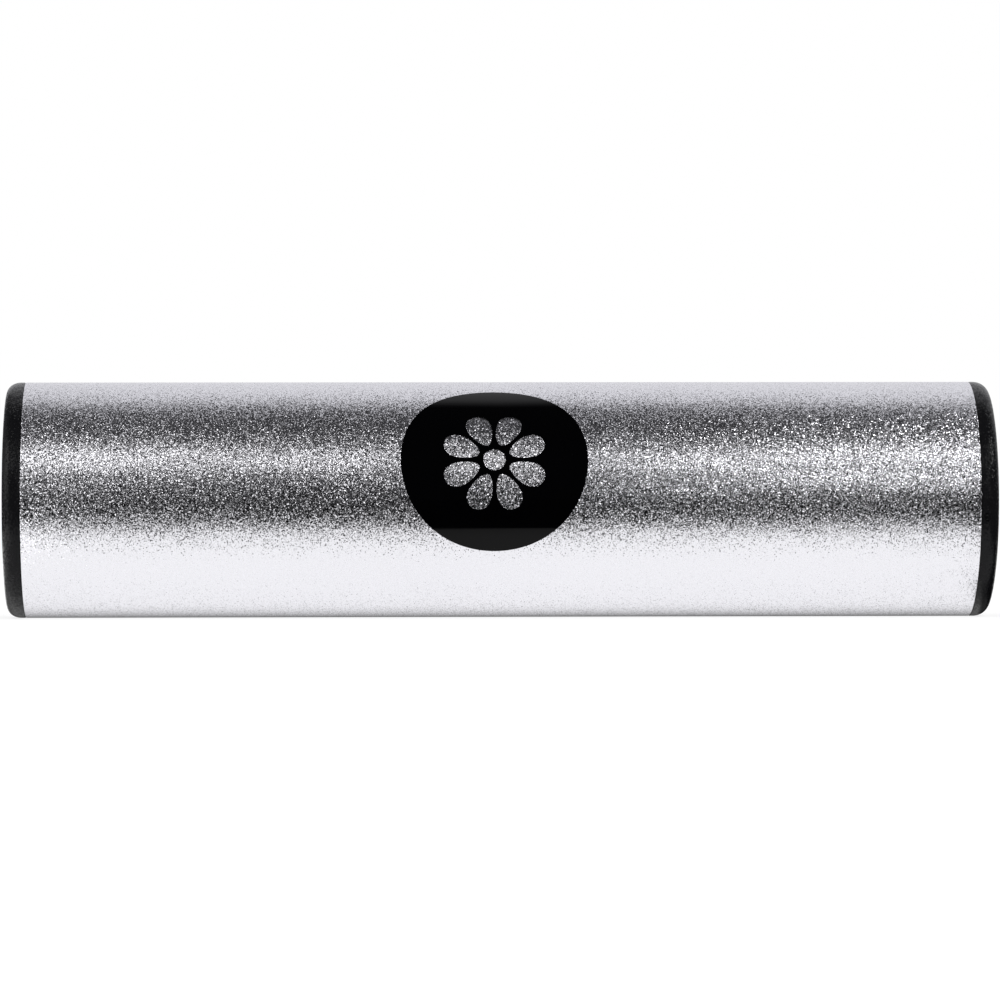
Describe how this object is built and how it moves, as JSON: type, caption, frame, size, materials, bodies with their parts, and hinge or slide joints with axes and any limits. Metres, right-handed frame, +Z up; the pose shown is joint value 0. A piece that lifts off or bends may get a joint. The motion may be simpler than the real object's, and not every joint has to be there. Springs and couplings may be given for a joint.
{
  "type": "percussion shaker",
  "caption": "Hand-held tube shaker: an aluminium tube closed by plug-in end caps, with a round label on its front and loose steel shot inside that slides from end to end.",
  "frame": {"origin": "the middle of the tube's axis", "axes": "+X along the tube, to the right as the label is seen; the label faces -Y; +Z up, with the shot at the bottom as the shaker lies on its side"},
  "size_m": [0.1876, 0.0453, 0.045],
  "materials": {
    "blasted_aluminium": "fine blasted, silver, with a sparkle",
    "black_plastic": "moulded, fine grain, satin",
    "label_black": "gloss black film",
    "shot_steel": "polished bearing steel"
  },
  "bodies": {
    "shell": {"tube": "blasted_aluminium", "end_cap_left": "black_plastic", "end_cap_right": "black_plastic", "front_label": "label_black"},
    "shot_row_1": {"shot_1_1": "shot_steel", "shot_1_2": "shot_steel", "shot_1_3": "shot_steel", "shot_1_4": "shot_steel", "shot_1_5": "shot_steel", "shot_1_6": "shot_steel", "shot_1_7": "shot_steel", "shot_1_8": "shot_steel"},
    "shot_row_2": {"shot_2_1": "shot_steel", "shot_2_2": "shot_steel", "shot_2_3": "shot_steel", "shot_2_4": "shot_steel", "shot_2_5": "shot_steel", "shot_2_6": "shot_steel", "shot_2_7": "shot_steel", "shot_2_8": "shot_steel"},
    "shot_row_3": {"shot_3_1": "shot_steel", "shot_3_2": "shot_steel", "shot_3_3": "shot_steel", "shot_3_4": "shot_steel", "shot_3_5": "shot_steel", "shot_3_6": "shot_steel", "shot_3_7": "shot_steel", "shot_3_8": "shot_steel"},
    "shot_row_4": {"shot_4_1": "shot_steel", "shot_4_2": "shot_steel", "shot_4_3": "shot_steel", "shot_4_4": "shot_steel", "shot_4_5": "shot_steel", "shot_4_6": "shot_steel", "shot_4_7": "shot_steel", "shot_4_8": "shot_steel"},
    "shot_row_5": {"shot_5_1": "shot_steel", "shot_5_2": "shot_steel", "shot_5_3": "shot_steel", "shot_5_4": "shot_steel", "shot_5_5": "shot_steel", "shot_5_6": "shot_steel", "shot_5_7": "shot_steel", "shot_5_8": "shot_steel"},
    "shot_row_6": {"shot_6_1": "shot_steel", "shot_6_2": "shot_steel", "shot_6_3": "shot_steel", "shot_6_4": "shot_steel", "shot_6_5": "shot_steel", "shot_6_6": "shot_steel", "shot_6_7": "shot_steel", "shot_6_8": "shot_steel"},
    "shot_row_7": {"shot_7_1": "shot_steel", "shot_7_2": "shot_steel", "shot_7_3": "shot_steel", "shot_7_4": "shot_steel", "shot_7_5": "shot_steel", "shot_7_6": "shot_steel", "shot_7_7": "shot_steel", "shot_7_8": "shot_steel"}
  },
  "joints": [
    {"name": "shot_row_1_slide", "type": "slide", "parent": "shell", "child": "shot_row_1", "axis": [1, 0, 0], "range_m": [-0.0529, 0.0529]},
    {"name": "shot_row_2_slide", "type": "slide", "parent": "shell", "child": "shot_row_2", "axis": [1, 0, 0], "range_m": [-0.0529, 0.0529]},
    {"name": "shot_row_3_slide", "type": "slide", "parent": "shell", "child": "shot_row_3", "axis": [1, 0, 0], "range_m": [-0.0529, 0.0529]},
    {"name": "shot_row_4_slide", "type": "slide", "parent": "shell", "child": "shot_row_4", "axis": [1, 0, 0], "range_m": [-0.0529, 0.0529]},
    {"name": "shot_row_5_slide", "type": "slide", "parent": "shell", "child": "shot_row_5", "axis": [1, 0, 0], "range_m": [-0.0529, 0.0529]},
    {"name": "shot_row_6_slide", "type": "slide", "parent": "shell", "child": "shot_row_6", "axis": [1, 0, 0], "range_m": [-0.0654, 0.0654]},
    {"name": "shot_row_7_slide", "type": "slide", "parent": "shell", "child": "shot_row_7", "axis": [1, 0, 0], "range_m": [-0.0654, 0.0654]}
  ]
}
